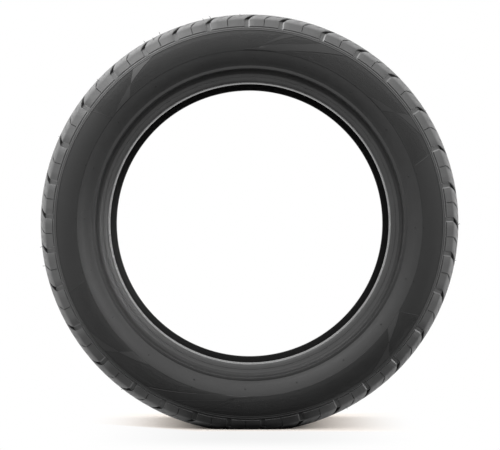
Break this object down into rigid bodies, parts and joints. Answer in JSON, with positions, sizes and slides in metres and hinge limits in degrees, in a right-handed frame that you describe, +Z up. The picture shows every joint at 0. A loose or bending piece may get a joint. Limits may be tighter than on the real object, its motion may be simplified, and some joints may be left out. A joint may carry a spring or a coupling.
{
  "type": "car tyre",
  "caption": "Rubber car tyre with a ribbed tread, slanted shoulder slots, bulging sidewalls and beads that seat on a wheel rim.",
  "frame": {"origin": "wheel centre: on the axle line, in the tyre's mid-plane", "axes": "+Y along the axle, away from the side that the picture shows; +Z up, as the tyre stands; +X to the right in the picture"},
  "size_m": [0.6567, 0.231, 0.6473],
  "materials": {
    "tyre_rubber": "matte, with a faint sheen on the shoulders"
  },
  "bodies": {
    "root": {"tyre": "tyre_rubber"}
  },
  "joints": []
}
